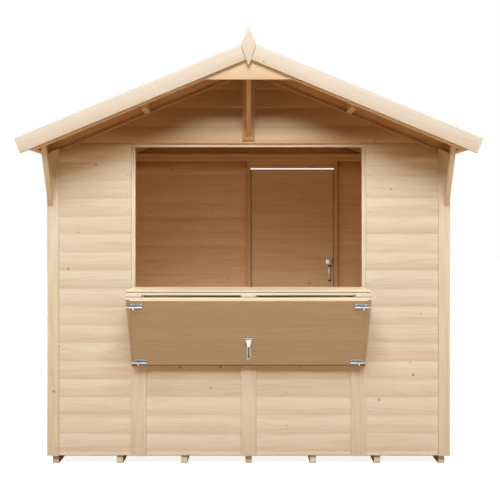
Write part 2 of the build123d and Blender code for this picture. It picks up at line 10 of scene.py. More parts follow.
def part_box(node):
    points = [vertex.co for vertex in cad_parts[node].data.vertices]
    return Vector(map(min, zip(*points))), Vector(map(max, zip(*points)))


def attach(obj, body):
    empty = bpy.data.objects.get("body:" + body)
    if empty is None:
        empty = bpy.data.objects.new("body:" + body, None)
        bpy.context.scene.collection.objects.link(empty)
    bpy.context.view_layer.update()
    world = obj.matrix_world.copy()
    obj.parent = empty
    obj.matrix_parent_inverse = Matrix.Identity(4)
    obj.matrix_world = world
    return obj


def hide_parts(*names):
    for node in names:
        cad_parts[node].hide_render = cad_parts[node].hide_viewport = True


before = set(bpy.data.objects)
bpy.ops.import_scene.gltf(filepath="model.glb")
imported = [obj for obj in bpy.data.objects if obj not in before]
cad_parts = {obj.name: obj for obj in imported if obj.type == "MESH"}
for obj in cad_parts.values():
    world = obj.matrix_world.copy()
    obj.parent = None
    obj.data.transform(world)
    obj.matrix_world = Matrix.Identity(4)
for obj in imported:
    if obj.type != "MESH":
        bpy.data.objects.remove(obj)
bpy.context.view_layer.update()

X, Y, Z = Vector((1.0, 0.0, 0.0)), Vector((0.0, 1.0, 0.0)), Vector((0.0, 0.0, 1.0))

# ------ sizes, in metres
TINY = 1e-5  # under this, two points are one
BOARD = 0.012  # thickness of every board
TIMBER = 0.028  # square framing
REVEAL = 0.024  # bare framing left around an opening
COVER = 0.1079  # height that each shiplap board shows
FIRST_LINE = 0.076  # lower edge of the lowest whole board
COVE_DEPTH = 0.0009
COVE_HEIGHT = 0.018

gable_low, gable_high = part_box("front_gable")
SLOPE = (gable_high.z - gable_low.z) / gable_high.x
PITCH = math.atan(SLOPE)
TILT = math.degrees(PITCH)
RIDGE_SEAT = gable_high.z  # roof frame's underside at the ridge
FRONT_FACE = gable_low.y
REAR_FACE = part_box("rear_gable")[1].y
header_low, header_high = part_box("rear_wall_header")
door_low, door_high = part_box("rear_door")


# ------ modelling helpers
def pick(*pieces):
    """Select only these pieces; the last becomes the active one."""
    bpy.ops.object.select_all(action="DESELECT")
    for piece in pieces:
        piece.select_set(True)
        bpy.context.view_layer.objects.active = piece


def settle(piece):
    """Move a piece's place into its mesh."""
    pick(piece)
    bpy.ops.object.transform_apply(location=True, rotation=True, scale=True)
    return piece


def block(low, high):
    """A box between two corners, as a start for a piece."""
    pick()
    low, high = Vector(low), Vector(high)
    bpy.ops.mesh.primitive_cube_add(size=1.0, location=(low + high) / 2.0)
    piece = bpy.context.active_object
    piece.scale = high - low
    return settle(piece)


def rod(start, end, radius, sides=16):
    """A round bar between two points, as a start for a piece."""
    pick()
    start, end = Vector(start), Vector(end)
    run = end - start
    bpy.ops.mesh.primitive_cylinder_add(
        vertices=sides, radius=radius, depth=run.length, location=(start + end) / 2.0
    )
    piece = bpy.context.active_object
    piece.rotation_euler = run.to_track_quat("Z", "Y").to_euler()
    return settle(piece)


def copy_of(piece):
    """A copy with its own mesh."""
    twin = piece.copy()
    twin.data = piece.data.copy()
    bpy.context.scene.collection.objects.link(twin)
    return twin


def remove(piece):
    bpy.data.objects.remove(piece)


def join(pieces, name):
    """Join pieces into one object with this name."""
    pick(*pieces)
    if len(pieces) > 1:
        bpy.ops.object.join()
    whole = bpy.context.active_object
    whole.name = name
    whole.data.name = name
    return whole


def select(piece, kind, test):
    """Enter edit mode with only the points, edges or faces selected that pass a test."""
    pick(piece)
    bpy.ops.object.mode_set(mode="EDIT")
    bpy.ops.mesh.select_mode(type=kind)
    bpy.ops.mesh.select_all(action="DESELECT")
    bpy.ops.object.mode_set(mode="OBJECT")
    mesh = piece.data
    for part in {"VERT": mesh.vertices, "EDGE": mesh.edges, "FACE": mesh.polygons}[kind]:
        part.select = test(part)
    bpy.ops.object.mode_set(mode="EDIT")


def leave_edit():
    bpy.ops.object.mode_set(mode="OBJECT")


def saw(piece, point, normal):
    """Cut off what lies beyond a plane and close the cut."""
    beyond = [normal.dot(vertex.co - point) for vertex in piece.data.vertices]
    if not beyond or max(beyond) < TINY / 10.0:
        return
    select(piece, "VERT", lambda vertex: True)
    bpy.ops.mesh.bisect(plane_co=point, plane_no=normal, use_fill=True, clear_outer=True)
    leave_edit()


def soften(piece, width, segments=2):
    """Round the sharp edges of a piece and shade it smoothly."""
    bevel = piece.modifiers.new("edges", "BEVEL")
    bevel.width = width
    bevel.segments = segments
    bevel.limit_method = "ANGLE"
    bevel.angle_limit = math.radians(35.0)
    pick(piece)
    bpy.ops.object.modifier_apply(modifier=bevel.name)
    bpy.ops.object.shade_smooth_by_angle(angle=math.radians(40.0))
    return piece


def turn(piece, degrees, axis="Z", place=(0.0, 0.0, 0.0)):
    """Turn a piece about an axis through the origin, then move it."""
    piece.matrix_world = Matrix.Translation(place) @ Matrix.Rotation(math.radians(degrees), 4, axis)
    return settle(piece)


def face_place(origin, out, up=Z):
    """Place of a fitting modelled on Z = 0: its Z turns to a face's normal, its Y upwards."""
    return Matrix.Translation(origin) @ Matrix((up.cross(out), up, out)).transposed().to_4x4()


def copies(master, places):
    """A copy of a small fitting at each place; the master is used up."""
    twins = []
    for place in places:
        twin = copy_of(master)
        twin.matrix_world = place
        twins.append(twin)
    remove(master)
    pick(*twins)
    bpy.ops.object.transform_apply(location=True, rotation=True, scale=True)
    return twins


# ------ materials
def linear(code):
    """Linear colour of an sRGB hex value."""
    channels = [int(code[i:i + 2], 16) / 255.0 for i in (1, 3, 5)]
    return [c / 12.92 if c <= 0.04045 else ((c + 0.055) / 1.055) ** 2.4 for c in channels] + [1.0]


def put(tree, kind, inputs=(), **settings):
    """Add a node, set its properties and feed its inputs, in their order or by name or number.

    An input takes a value, an output, or a node, which stands for its first output or its colour.
    Inputs 0, 6 and 7 of a colour mix are its share and its two colours.
    """
    node = tree.nodes.new("ShaderNode" + kind)
    for key, value in settings.items():
        setattr(node, key, value)
    for key, value in inputs.items() if isinstance(inputs, dict) else enumerate(inputs):
        if isinstance(value, bpy.types.Node):
            value = value.outputs[2 if value.type == "MIX" else 0]
        if isinstance(value, bpy.types.NodeSocket):
            tree.links.new(value, node.inputs[key])
        else:
            node.inputs[key].default_value = value
    return node


def node_adder(owner):
    """Empty the nodes of a material or a world; what comes back adds new ones to it."""
    owner.use_nodes = True
    owner.node_tree.nodes.clear()
    return partial(put, owner.node_tree)


def softwood(name, pale, deep, latewood, roughness, nap, knot_share=0.45):
    """Spruce: streaks and rings of darker latewood along the grain, and small brown knots.

    Boards lie between pale and deep. nap is the height of the surface's fibres, which dull the
    sheen: low when planed, higher when sawn. Patterns are given as how many go to a metre.
    """
    material = bpy.data.materials.new(name)
    add = node_adder(material)
    place = add("Attribute", attribute_name="grain").outputs["Vector"]
    board = add("Attribute", attribute_name="board").outputs["Fac"]

    # knots: one in each cell of 270 mm, kept in a share of the cells, 6 to 14 mm across
    cell = 0.27
    cells = add("TexVoronoi", {"Vector": place, "Scale": 1.0 / cell}, voronoi_dimensions="2D")
    chance = add("SeparateColor", [cells.outputs["Color"]])
    kept = add("MapRange", [chance, 1.0 - knot_share, 1.0 - knot_share + 0.01])
    radius = add("MapRange", [chance.outputs[1], 0.0, 1.0, 0.003, 0.007])
    distance = add("Math", [cells.outputs["Distance"], cell], operation="MULTIPLY")
    radii = add("Math", [distance, radius], operation="DIVIDE")

    def around_knot(far, near, strength):
        """A zone that fades in between two distances from a knot, counted in its radii."""
        zone = add("MapRange", [radii, far, near, 0.0, strength], interpolation_type="SMOOTHSTEP")
        return add("Math", [zone, kept], operation="MULTIPLY")

    def streaks(source, lengthways, crossways, detail=3.0, rough=0.55):
        """Noise that is drawn out along the grain."""
        stretch = (lengthways, crossways, crossways)
        drawn = add("VectorMath", [source, stretch], operation="MULTIPLY")
        inputs = {"Vector": drawn, "Scale": 1.0, "Detail": detail, "Roughness": rough}
        return add("TexNoise", inputs)

    # the grain wanders by up to 45 mm along the board, and bends round its knots by 14 mm
    drift = streaks(place, 1.8, 6.0, 4.0, 0.5)
    bend = add("Math", [drift, 0.045, around_knot(7.0, 0.0, 0.014)], operation="MULTIPLY_ADD")
    bent = add("VectorMath", [place, add("CombineXYZ", [0.0, bend, bend])], operation="ADD")

    # bands of heartwood, about 40 mm wide
    heart = streaks(bent, 1.3, 24.0)
    bands = add("MapRange", [heart, 0.42, 0.70, 0.0, 0.36], interpolation_type="SMOOTHSTEP")
    # growth rings of a flat-sawn face: contour lines of a slow field, 8 to 20 mm apart
    contours = add("Math", [streaks(bent, 0.55, 9.0, 1.5, 0.45), 75.0], operation="MULTIPLY")
    wave = add("Math", [contours], operation="SINE")
    wave = add("Math", [wave, 0.5, 0.5], operation="MULTIPLY_ADD")
    rings = add("Math", [wave, streaks(bent, 2.2, 85.0, 4.0)], operation="MULTIPLY")
    lines = add("MapRange", [rings, 0.22, 0.62, 0.0, 0.46], interpolation_type="SMOOTHSTEP")
    # fibres are finer than 0.1 mm, and are drawn as coarse as 1.5 mm so that they show
    fibres = streaks(bent, 14.0, 700.0, 2.0)

    figure = add("Math", [bands, lines], operation="ADD")
    figure = add("Math", [fibres, 0.25, figure], operation="MULTIPLY_ADD")
    colour = add("Mix", {0: board, 6: linear(pale), 7: linear(deep)}, data_type="RGBA")
    for share, tint in (
        (add("MapRange", [figure, 0.125, 1.125, 0.0, 0.55]), latewood),
        (around_knot(2.2, 1.0, 0.35), "#b98a58"),  # the ring of bent grain
        (around_knot(1.15, 0.75, 0.62), "#95663c"),
    ):
        colour = add("Mix", {0: share, 6: colour, 7: linear(tint)}, data_type="RGBA")
    height = add("Math", [rings, 0.6, fibres], operation="MULTIPLY_ADD")
    bump = add("Bump", {"Height": height, "Distance": nap, "Strength": 0.6})
    shader = add("BsdfPrincipled", {"Base Color": colour, "Roughness": roughness, "Normal": bump})
    add("OutputMaterial", [shader])
    return material


def end_grain(name, pale, ring_colour):
    """Sawn end of a spruce board: arcs of growth rings, darker and duller than the face."""
    material = bpy.data.materials.new(name)
    add = node_adder(material)
    place = add("Attribute", attribute_name="grain").outputs["Vector"]
    parts = add("SeparateXYZ", [place])
    flat = add("CombineXYZ", [parts.outputs[1], parts.outputs[2]])
    rings = add(  # 6 mm apart
        "TexWave",
        {"Vector": flat, "Scale": 50.0, "Distortion": 3.0, "Detail": 2.0, "Detail Scale": 0.6},
        wave_type="RINGS", rings_direction="Z",
    )
    grit = add("TexNoise", {"Vector": place, "Scale": 900.0, "Detail": 2.0})  # saw marks, 1 mm
    deep = add("Math", [rings.outputs[1], 0.6], operation="MULTIPLY")
    tone = add("Math", [grit, 0.35, deep], operation="MULTIPLY_ADD")
    colour = add("Mix", {0: tone, 6: linear(pale), 7: linear(ring_colour)}, data_type="RGBA")
    bump = add("Bump", {"Height": grit, "Distance": 0.0004, "Strength": 0.6})
    shader = add("BsdfPrincipled", {"Base Color": colour, "Roughness": 0.85, "Normal": bump})
    add("OutputMaterial", [shader])
    return material


def zinc_plate(name, colour, cloudy, roughness):
    """Zinc-plated steel, pressed and tumbled: a soft shine with a faint cloudy passivation."""
    material = bpy.data.materials.new(name)
    add = node_adder(material)
    place = add("TexCoord").outputs["Object"]
    clouds = add("TexNoise", {"Vector": place, "Scale": 160.0, "Detail": 3.0})  # 6 mm across
    scratches = add("TexNoise", {"Vector": place, "Scale": 1400.0, "Detail": 2.0})  # 0.7 mm apart
    share = add("MapRange", [clouds, 0.3, 0.7])
    clouded = add("Mix", {0: share, 6: linear(colour), 7: linear(cloudy)}, data_type="RGBA")
    shader = add("BsdfPrincipled", {
        "Base Color": clouded,
        "Metallic": 1.0,
        "Roughness": add("MapRange", [clouds, 0.3, 0.7, roughness - 0.06, roughness + 0.08]),
        "Normal": add("Bump", {"Height": scratches, "Distance": 0.00005, "Strength": 0.5}),
    })
    add("OutputMaterial", [shader])
    return material


def mineral_felt(name):
    """Bitumen roofing felt, rolled in grit: dull dark grey, speckled by its mineral grains."""
    material = bpy.data.materials.new(name)
    add = node_adder(material)
    place = add("TexCoord").outputs["Object"]
    grains = add("TexVoronoi", {"Vector": place, "Scale": 550.0})  # 1 to 2 mm
    weathering = add("TexNoise", {"Vector": place, "Scale": 4.0, "Detail": 4.0})  # 250 mm
    shade = add("SeparateColor", [grains.outputs["Color"]])
    speckled = add("Mix", {0: shade, 6: linear("#4f4b46"), 7: linear("#827c74")}, data_type="RGBA")
    share = add("MapRange", [weathering, 0.35, 0.7, 0.0, 0.35])
    colour = add("Mix", {0: share, 6: speckled, 7: linear("#44413d")}, data_type="RGBA")
    bump = add("Bump", {"Height": grains, "Distance": 0.001, "Strength": 0.7})
    shader = add("BsdfPrincipled", {"Base Color": colour, "Roughness": 0.95, "Normal": bump})
    add("OutputMaterial", [shader])
    return material


# planed spruce: smooth, pale and even, with a soft sheen
PLANED = softwood("planed_spruce", "#e5d5b8", "#e3cfb3", "#cca97f", 0.62, 0.0002)
# painted warm shade: warmer, darker boards for the front gable and the gable tie under the roof's
# edge; also on the upward faces of the hatch leaf's boards
HONEY_SHADE = softwood("planed_spruce_honey_shade", "#e1c49a", "#dbba8f", "#ca9f6f", 0.62, 0.0002)
# the whitest boards, with a weak figure, for bargeboards and finials
BARGE = softwood("planed_spruce_pale", "#e3d4be", "#e0cfb7", "#d2ba99", 0.62, 0.0002, 0.35)
# painted warm light: creamier, brighter boards on the counter's top, which face the sky
COUNTER_LIT = softwood("planed_spruce_counter_lit", "#f2d9b2", "#ecd2aa", "#dab78b", 0.62, 0.0002)
# greyer lining of the hatch's front leaf, with few knots: a painted shade tone, greyed to offset
# the warm bounce light that the leaf gets in the counter's shade
SHADE_TONED_LINING = softwood("planed_spruce_lining_shade_toned", "#d3c8b0", "#ccbda0", "#bca47e", 0.66, 0.0002, 0.15)
# painted shade of the room: inside faces in a darker, warm brown and duller copy of the planed
# spruce
INSIDE_SHADE = softwood("planed_spruce_inside_shade", "#dcb384", "#d6a875", "#bf8856", 0.7, 0.0003)
# sawn spruce: duller and browner than planed, with a raised nap
SAWN = softwood("sawn_spruce", "#d9b68a", "#d1aa7b", "#b98c5c", 0.8, 0.0006)
# sawn narrow edges of bargeboards and finials, darker also as painted shade: under the bargeboards,
# and on the tops that the high lamps light brightly
EDGE = softwood("sawn_spruce_edge_shade", "#c4ab88", "#ba9f7a", "#a0835c", 0.8, 0.0004, 0.3)
# painted shade under the roof: darker, browner sawn timber for the gable rafters, the gable bead,
# and the strut and batten on the ridge's line
SHADE_BROWN = softwood("sawn_spruce_shade_brown", "#c9a376", "#bf9768", "#a07849", 0.85, 0.0006, 0.4)
# rough-sawn roof boards, darkened also as painted shade for their underside under the overhang
ROOFING_SHADED = softwood("sawn_spruce_roof_shaded", "#bf9667", "#b38858", "#946b3e", 0.85, 0.0006, 0.4)
# darkest: painted shade on the bearers' sides under the floor, and on the bare lip of the hatch
# under its lining
CORE_SHADE = softwood("sawn_spruce_lip_shade", "#907050", "#866546", "#705237", 0.85, 0.0005)
END_GRAIN = end_grain("spruce_end_grain", "#dcc19b", "#b98f62")

ZINC = zinc_plate("zinc_plated_steel", "#dbd6cc", "#b4aea4", 0.30)  # bright and new
DULL_AND_SHADED_ZINC = zinc_plate("dull_and_shaded_zinc_plate", "#6e6963", "#5a5550", 0.46)  # dark: nail heads, and painted shade and dark reflection in recesses and on undersides
DARK_REFLECTION_ZINC = zinc_plate("zinc_plate_dark_reflection", "#86827d", "#73706b", 0.42)  # back plates of the bolts in a darker grey: a painted dark reflection
STRAP_ZINC = zinc_plate("galvanised_steel", "#b3afa7", "#98948c", 0.40)  # matt grey, hot dipped
HINGE_ZINC = zinc_plate("yellow_zinc_plate", "#c3ae9b", "#b09a86", 0.42)  # warm tint of chromate
FELT = mineral_felt("mineral_felt")

# a wood is a face, the sawn ends, and a third finish for what mark_grain() is told to give it
# inside faces of the cladding take the inside copy: painted shade of the room
PLANED_WOOD = (PLANED, END_GRAIN, INSIDE_SHADE)
SHADE_TONED_LINING_WOOD = (SHADE_TONED_LINING, END_GRAIN, HONEY_SHADE)
BARGE_SHADED_EDGES_WOOD = (BARGE, END_GRAIN, EDGE)
SAWN_WOOD = (SAWN, END_GRAIN)
FRAME_LIT_FRONT_WOOD = (SAWN, END_GRAIN, PLANED)
LIP_SHADE_WOOD = (PLANED, END_GRAIN, CORE_SHADE)
GABLE_SHADE_WOOD = (HONEY_SHADE, END_GRAIN, INSIDE_SHADE)
ROOF_SHADE_WOOD = (ROOFING_SHADED, END_GRAIN)
INSIDE_SHADE_WOOD = (INSIDE_SHADE, END_GRAIN)
COUNTER_LIT_WOOD = (COUNTER_LIT, END_GRAIN)
# bearers: darkest wood on their faces as painted shade, pale planed spruce on their ends as painted
# light
BEARER_SHADE_AND_LIGHT_WOOD = (CORE_SHADE, PLANED)
SHADE_BROWN_WOOD = (SHADE_BROWN, END_GRAIN)
HEADER_LIT_INSIDE_WOOD = (PLANED, END_GRAIN, PLANED)

# ------ grain
rng = random.Random(7)
LOG_LENGTH = 60.0  # boards take their figure from anywhere in so many metres
END_FACE = 0.75  # a face looks along a direction when their normals' product is over this
SIDE_FACE = 0.5  # a narrow edge's product with the board's flat face is under this
ANY_EDGE = -2.0  # lower than any normal's rise, so that every narrow edge is meant


def mark_grain(piece, along, across, wood, inside=None, edges=None):
    """Give a board its wood, and store each point's place so that every board has its own figure.

    Sawn ends take the wood's second material, and faces towards inside its third. So do a board's
    narrow edges whose normal rises above edges.
    """
    along = along.normalized()
    through = along.cross(across).normalized()
    across = through.cross(along)
    shift = Vector([rng.uniform(0.0, LOG_LENGTH) for axis in range(3)])
    mesh = piece.data
    for name, kind in (("grain", "FLOAT_VECTOR"), ("board", "FLOAT")):
        if name not in mesh.attributes:
            mesh.attributes.new(name, kind, "POINT")
    grain, board = mesh.attributes["grain"], mesh.attributes["board"]
    tone = rng.random()
    mesh.materials.clear()
    for material in wood:
        mesh.materials.append(material)
    for index, point in enumerate(mesh.vertices):
        place = Vector((along.dot(point.co), across.dot(point.co), through.dot(point.co)))
        grain.data[index].vector = place + shift
        board.data[index].value = tone
    for face in mesh.polygons:
        normal = face.normal
        inner = inside is not None and normal.dot(inside) > END_FACE
        edge = edges is not None and normal.z > edges and abs(normal.dot(through)) < SIDE_FACE
        face.material_index = 1 if abs(normal.dot(along)) > END_FACE else 2 if inner or edge else 0
    return piece


def dress(piece, slot, *nodes, body="root"):
    """Give a finished piece its body, and hide the CAD nodes that it stands for. slot is not used.
    """
    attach(piece, body)
    if nodes:
        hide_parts(*nodes)
    return piece


# ------ cladding
FACING = {"front": 0.0, "right": 90.0, "rear": 180.0, "left": -90.0}
UNEVEN = 0.0004  # how far a board may stand in from the wall's face
# the planes of the roof frame's underside: a point on each and its upward normal
ROOF_CUTS = tuple(
    (Z * RIDGE_SEAT, Z * math.cos(PITCH) + X * math.sin(PITCH) * side) for side in (-1.0, 1.0)
)


def shiplap_board():
    """One metre of shiplap: its face towards -Y, a cove along the top, eased edges below."""
    board = block((0.0, 0.0, 0.0), (1.0, BOARD, COVER))
    # a bevel made while the board is drawn out in Y comes back as a shallow cove
    drawn_out = COVE_HEIGHT / COVE_DEPTH
    bpy.ops.object.mode_set(mode="EDIT")
    bpy.ops.mesh.select_all(action="SELECT")
    bpy.ops.transform.resize(value=(1.0, drawn_out, 1.0), center_override=(0.0, 0.0, 0.0))
    leave_edit()
    select(board, "VERT", lambda vertex: vertex.co.y < TINY and vertex.co.z > COVER - TINY)
    bpy.ops.mesh.bevel(offset=COVE_HEIGHT, segments=5, profile=0.12, affect="EDGES")
    bpy.ops.mesh.select_all(action="SELECT")
    bpy.ops.transform.resize(value=(1.0, 1.0 / drawn_out, 1.0), center_override=(0.0, 0.0, 0.0))
    leave_edit()
    select(board, "VERT", lambda vertex: vertex.co.z < TINY)
    bpy.ops.mesh.bevel(offset=0.0011, segments=2, profile=0.5, affect="EDGES")
    leave_edit()
    pick(board)
    bpy.ops.object.shade_smooth_by_angle(angle=math.radians(35.0))
    return board


BOARD_MASTER = shiplap_board()


def lay_courses(x_span, face_y, z_span, cuts=(), wood=PLANED_WOOD):
    """Shiplap courses that face -Y, sawn to a panel's edges and to extra planes."""
    courses = []
    number = math.floor((z_span[0] - FIRST_LINE) / COVER + 1e-6)
    while FIRST_LINE + number * COVER < z_span[1] - 0.002:  # no course of under 2 mm
        line = FIRST_LINE + number * COVER
        number += 1
        board = copy_of(BOARD_MASTER)
        board.scale = (x_span[1] - x_span[0], 1.0, 1.0)
        board.location = (x_span[0], face_y + rng.uniform(0.0, UNEVEN), line)
        settle(board)
        if line < z_span[0]:
            saw(board, Z * z_span[0], -Z)
        if line + COVER > z_span[1]:
            saw(board, Z * z_span[1], Z)
        for point, normal in cuts:
            saw(board, point, normal)
        if board.data.vertices:
            courses.append(mark_grain(board, X, Z, wood, Y))
        else:
            remove(board)
    return courses


NAIL_RISE = 0.025  # nail above its board's lower edge
NAIL_INSET = 0.02  # outer lines of nails to the panel's sides, and nails to sloping cuts
NAIL_EDGE = 0.01  # nails to the panel's foot and head
NAIL_STRAY = 0.002
STUD_BAY = 0.62  # greatest distance between two lines of nails
NAILED_COURSES = 18  # from the foot; boards above them show no nails
nail_places = {"root": [], "rear_door": []}


def nail_boards(x_span, face_y, z_span, cuts, degrees, body="root"):
    """Note where a panel's nails go: one over each stud in each nailed board."""
    first, last = x_span[0] + NAIL_INSET, x_span[1] - NAIL_INSET
    bays = max(1, math.ceil((last - first) / STUD_BAY))
    turned = Matrix.Rotation(math.radians(degrees), 4, "Z")
    for number in range(NAILED_COURSES):
        z = FIRST_LINE + number * COVER + NAIL_RISE
        for line in range(bays + 1):
            x = first + (last - first) * line / bays
            strayed = [rng.uniform(-NAIL_STRAY, NAIL_STRAY) for axis in range(2)]
            nail = Vector((x + strayed[0], face_y, z + strayed[1]))
            clear = all(normal.dot(nail - point) < -NAIL_INSET for point, normal in cuts)
            if clear and z_span[0] + NAIL_EDGE < nail.z < z_span[1] - NAIL_EDGE:
                nail_places[body].append(turned @ face_place(nail, -Y))


def clad(node, facing, cuts=(), wood=PLANED_WOOD):
    """Replace a wall panel's slab with its courses of shiplap."""
    back = Matrix.Rotation(math.radians(-FACING[facing]), 3, "Z")
    corners = [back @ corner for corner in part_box(node)]
    low, high = Vector(map(min, *corners)), Vector(map(max, *corners))
    courses = lay_courses((low.x, high.x), low.y, (low.z, high.z), cuts, wood)
    wall = join(courses, node + "_boards")
    turn(wall, FACING[facing])
    nail_boards((low.x, high.x), low.y, (low.z, high.z), cuts, FACING[facing])
    return dress(wall, "planed_softwood", node)


for wall_node in ("front_wall_left", "front_wall_right"):
    clad(wall_node, "front", ROOF_CUTS)
# the front gable's boards take the honey tone: painted warm shade under the overhang
clad("front_gable", "front", ROOF_CUTS, GABLE_SHADE_WOOD)
clad("front_wall_lower", "front")

# a bead under the roof on the front gable, modelled level from the ridge outwards
BEAD_DEPTH = 0.004
BEAD_SPAN = (0.02, 1.20 / math.cos(PITCH))
BEAD_DROP = (-0.018, -0.010)  # its foot and head under the roof frame
bead = []
for spin in (180.0, 0.0):
    strip = soften(block(
        (BEAD_SPAN[0], FRONT_FACE - BEAD_DEPTH, BEAD_DROP[0]),
        (BEAD_SPAN[1], FRONT_FACE, BEAD_DROP[1]),
    ), 0.0015)
    mark_grain(strip, X, Z, SHADE_BROWN_WOOD)
    turn(strip, TILT, "Y", Z * RIDGE_SEAT)
    bead.append(turn(strip, spin, place=Y * (2.0 * FRONT_FACE - BEAD_DEPTH if spin else 0.0)))
dress(join(bead, "gable_bead"), "planed_softwood")

for wall_node in ("rear_wall_left", "rear_wall_right", "rear_gable"):
    clad(wall_node, "rear", ROOF_CUTS)
# the header's inside faces take pale planed spruce instead of the inside copy: painted light that
# lifts the shade under the rear rail
clad("rear_wall_header", "rear", wood=HEADER_LIT_INSIDE_WOOD)
for side in ("left", "right"):
    clad("side_wall_" + side, side)


# ------ timbers
def longest_edge(mesh):
    """Direction of a piece's longest edge, which its grain follows."""
    best = Vector()
    for edge in mesh.edges:
        first, second = (mesh.vertices[index].co for index in edge.vertices)
        if (second - first).length > best.length:
            best = second - first
    return best.normalized()


def width_direction(mesh, along):
    """Direction square to the grain in which a piece is widest."""
    first = along.cross(Y if abs(along.y) < 0.9 else X).normalized()
    second = along.cross(first).normalized()

    def spread(direction):
        reach = [direction.dot(point.co) for point in mesh.vertices]
        return max(reach) - min(reach)

    return first if spread(first) > spread(second) else second


def loose_parts(node):
    """Copies of a node's separate solids, with clean flat faces."""
    whole = copy_of(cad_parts[node])
    whole.parent = None
    for key in list(whole.keys()):
        del whole[key]
    pick(whole)
    bpy.ops.object.mode_set(mode="EDIT")
    bpy.ops.mesh.select_all(action="SELECT")
    bpy.ops.mesh.remove_doubles(threshold=TINY)
    bpy.ops.mesh.dissolve_limited(angle_limit=math.radians(1.0))
    bpy.ops.mesh.separate(type="LOOSE")
    leave_edit()
    parts = list(bpy.context.selected_objects)
    parts.sort(key=lambda part: tuple(round(value, 4) for value in part.data.vertices[0].co))
    return parts


RAIL_DEPTH = 0.1  # lying rails are shallower than this
MIDDLE_HALF = 0.05  # timbers on the ridge's line lie within this of it
ABOVE_OPENING = 1.5  # and higher than this when they are over the opening


def timbers(
    node, wood, slot, edge=0.0015, along=None, joint=None, facing=None, middle_shade_wood=None, edges=None
):
    """Replace a node with a copy whose timbers have eased edges and a grain of their own.

    joint is the height of a level joint between two rails that lie on each other. Faces that look
    in the direction of facing take the wood's third material, and so do narrow edges whose normal
    rises above edges. middle_shade_wood is for the timbers on the ridge's line above the opening.
    """
    parts = []
    for part in loose_parts(node):
        heights = [point.co.z for point in part.data.vertices]
        low, high = min(heights), max(heights)
        if joint and low < joint < high and high - low < RAIL_DEPTH:
            upper = copy_of(part)
            saw(upper, Z * joint, -Z)
            saw(part, Z * joint, Z)
            parts.append(upper)
        parts.append(part)
    for part in parts:
        direction = along or longest_edge(part.data)
        width = width_direction(part.data, direction)
        points = [point.co for point in part.data.vertices]
        in_middle = all(abs(co.x) < MIDDLE_HALF and co.z > ABOVE_OPENING for co in points)
        soften(part, edge)
        # timbers on the ridge's line above the opening take the darker wood as painted shade under
        # the roof
        own_wood = middle_shade_wood if middle_shade_wood and in_middle else wood
        mark_grain(part, direction, width, own_wood, facing, edges)
    return dress(join(parts, node + "_timber"), slot, node)


for timber_node in (
    "rear_studs", "side_plates", "side_studs", "roof_purlins", "eaves_rails", "gable_infill",
):
    timbers(timber_node, SAWN_WOOD, "sawn_framing")
# darker brown on the gable rafters: painted shade high under the roof
timbers("gable_rafters", SHADE_BROWN_WOOD, "sawn_framing")
timbers("floor_bearers", BEARER_SHADE_AND_LIGHT_WOOD, "sawn_framing")
# front faces of the front framing take paler planed spruce: a planed face, and painted light on the
# rafters' shaded strip under the bargeboards
for timber_node in ("front_rails", "front_studs", "front_rafters"):
    timbers(timber_node, FRAME_LIT_FRONT_WOOD, "sawn_framing", facing=-Y)

# a timber that fills the rear framing behind the header, over the door
INFILL_DEPTH = 0.026
DOOR_LAP = 0.017  # door past the side of its doorway
infill = soften(block(
    (header_low.x + REVEAL, header_low.y - INFILL_DEPTH, header_low.z + TIMBER),
    (door_high.x - DOOR_LAP, header_low.y, header_high.z),
), 0.001)
infill.name = "door_head_infill"
dress(mark_grain(infill, X, Z, INSIDE_SHADE_WOOD), "sawn_framing")

# the rear rails take the inside copy: painted shade of the room
timbers("rear_rails", INSIDE_SHADE_WOOD, "sawn_framing", joint=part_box("rear_rails")[1].z - TIMBER)
for timber_node in ("end_trims", "side_trims"):
    timbers(timber_node, PLANED_WOOD, "planed_softwood")
# the tie takes the honey tone as painted half-shade under the bargeboards
timbers("gable_tie", GABLE_SHADE_WOOD, "planed_softwood")
# the middle strut and the middle batten take the darker brown: painted shade under the roof
for timber_node in ("front_battens", "overhang_struts"):
    timbers(timber_node, PLANED_WOOD, "planed_softwood", middle_shade_wood=SHADE_BROWN_WOOD)
# every narrow edge of a bargeboard takes the darker edge wood: painted shade below, toned-down
# light on top
for end in ("front", "rear"):
    for side in ("left", "right"):
        timbers(f"bargeboard_{end}_{side}", BARGE_SHADED_EDGES_WOOD, "planed_softwood", 0.002, edges=ANY_EDGE)

# only the finials' upward edges take the darker edge wood, toning down their brightly lit tops
finials = timbers("finials", BARGE_SHADED_EDGES_WOOD, "planed_softwood", 0.002, along=Z, edges=0.0)
FINIAL_PLANED = 0.007  # planed off each finial's outer face
OUTER_FACE = 0.004  # depth within which a point belongs to that face
finial_low, finial_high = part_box("finials")
for outer_y, inwards in ((finial_low.y, 1.0), (finial_high.y, -1.0)):
    select(finials, "VERT", lambda vertex: (vertex.co.y - outer_y) * inwards < OUTER_FACE)
    bpy.ops.transform.translate(value=Y * inwards * FINIAL_PLANED)
    leave_edit()


# ------ boards with plain joints
def planks(low, high, cover, joint, wood=PLANED_WOOD, inside=None):
    """Matched boards along X that fill a level or upright box, with a small V at each joint."""
    low, high = Vector(low), Vector(high)
    step = 1 if high.z - low.z < min(high.x - low.x, high.y - low.y) else 2
    count = max(1, round((high[step] - low[step]) / cover))
    width = (high[step] - low[step]) / count
    laid = []
    for number in range(count):
        first, last = low.copy(), high.copy()
        first[step] = low[step] + number * width
        last[step] = first[step] + width
        board = soften(block(first, last), joint, 1)
        laid.append(mark_grain(board, X, (X, Y, Z)[step], wood, inside))
    return laid


ONE_BOARD = 2.0  # a cover wider than any box, which is then filled by one board

FLOOR_COVER = 0.104
floor_laid = planks(*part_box("floor_deck"), FLOOR_COVER, 0.0012, SAWN_WOOD)
dress(join(floor_laid, "floor_boards_laid"), "floor_boards", "floor_deck")

